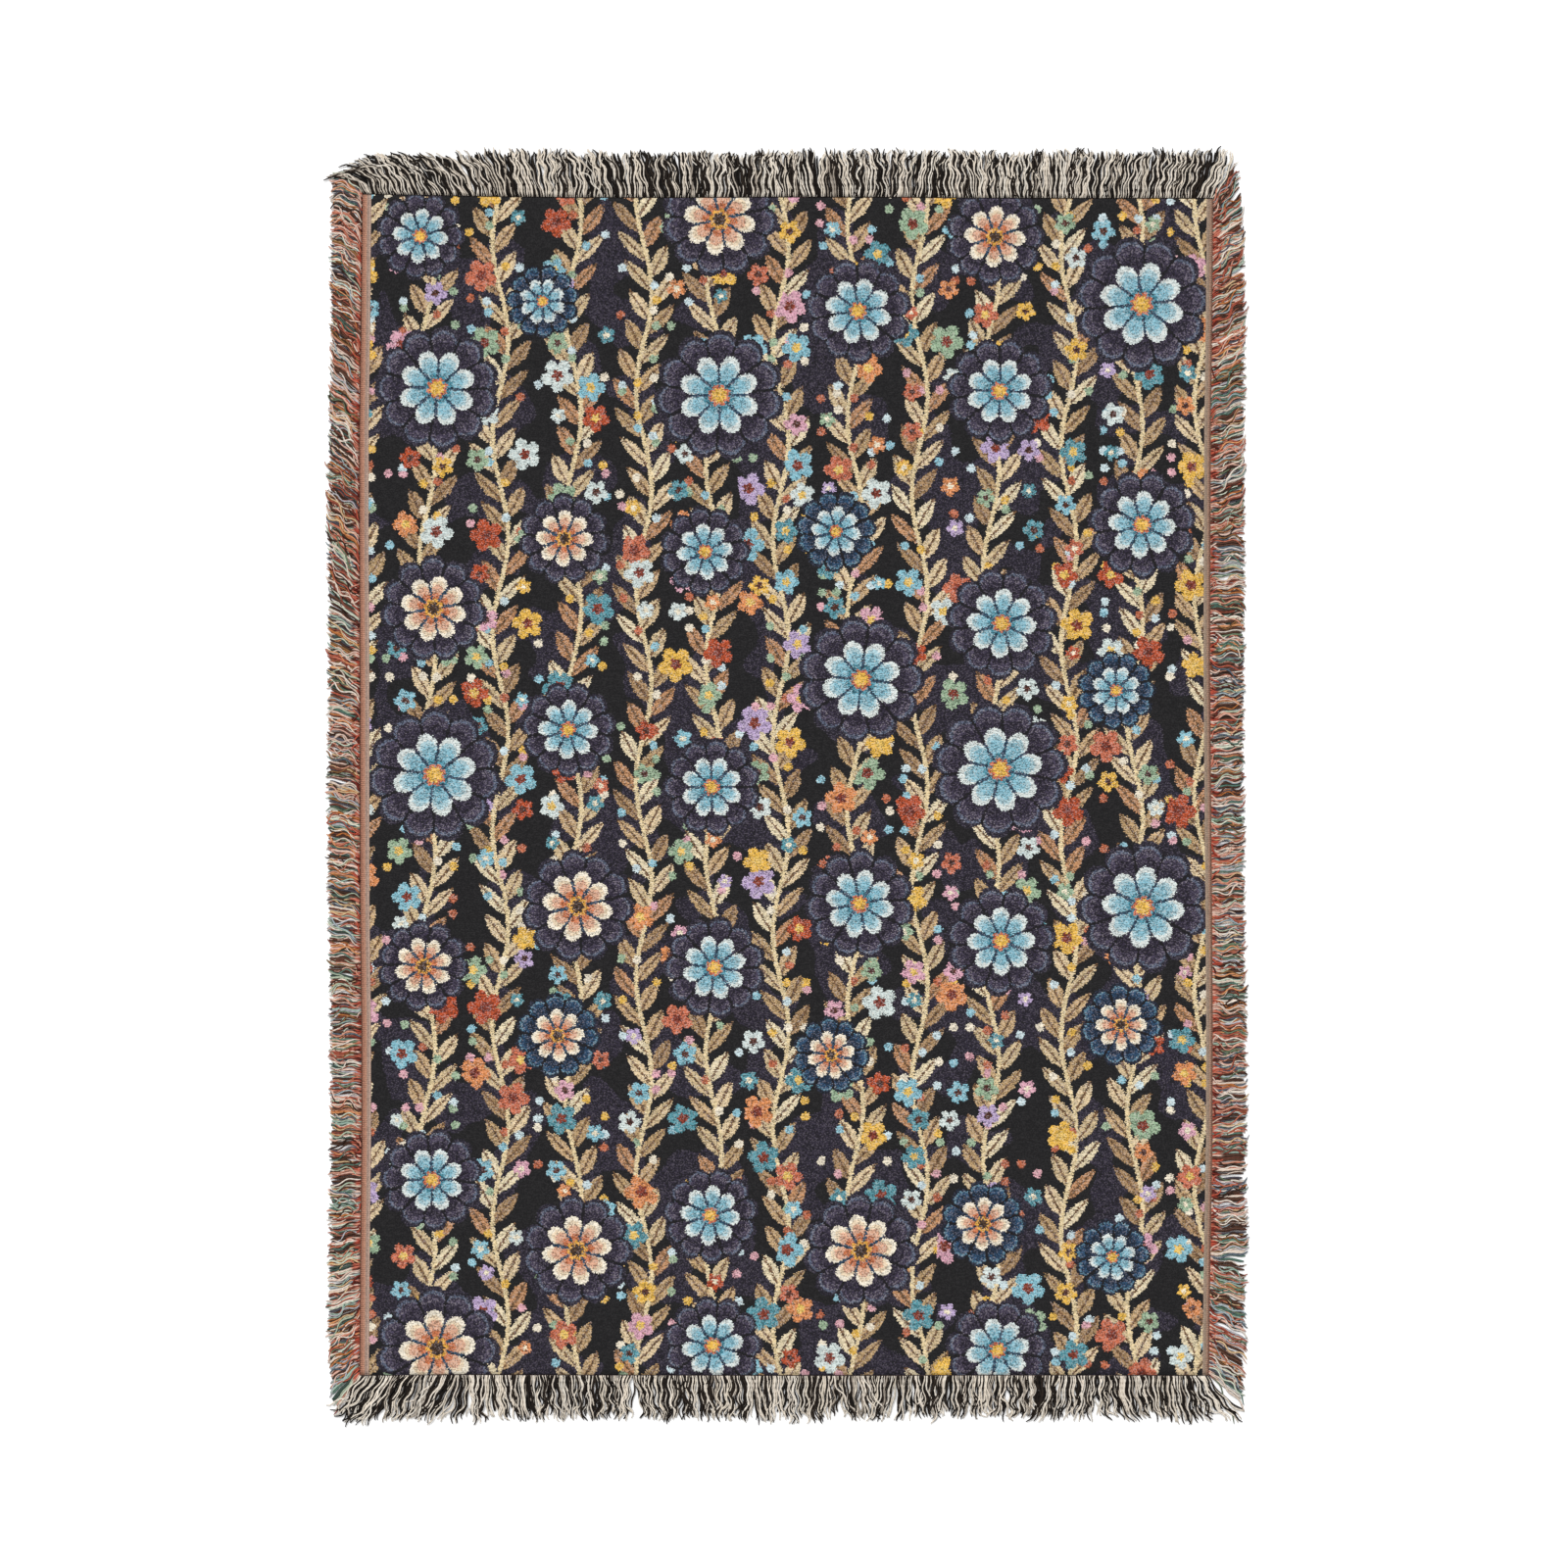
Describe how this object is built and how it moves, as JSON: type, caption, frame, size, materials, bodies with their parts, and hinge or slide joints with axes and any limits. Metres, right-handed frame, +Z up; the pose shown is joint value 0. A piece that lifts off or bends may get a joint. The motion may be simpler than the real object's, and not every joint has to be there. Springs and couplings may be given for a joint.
{
  "type": "tapestry throw blanket",
  "caption": "Flat rectangular woven throw blanket with a patterned face, plain selvages down its long sides and a loose yarn fringe along every edge.",
  "frame": {"origin": "middle of the blanket's outline, in the plane that it lies on", "axes": "+X to the right of the face as it is seen, +Y along the length towards the head, +Z up out of the face"},
  "size_m": [0.943, 1.305, 0.0029],
  "materials": {
    "tapestry_weave": "matt jacquard weave of many coloured cotton yarns",
    "warp_fringe": "loose twisted cotton yarn, black and ivory",
    "weft_fringe": "loose twisted cotton yarn in brick red, orange, ochre, green and ivory"
  },
  "bodies": {
    "root": {"woven_panel": "tapestry_weave", "fringe_head": "warp_fringe", "fringe_foot": "warp_fringe", "fringe_left": "weft_fringe", "fringe_right": "weft_fringe"}
  },
  "joints": []
}
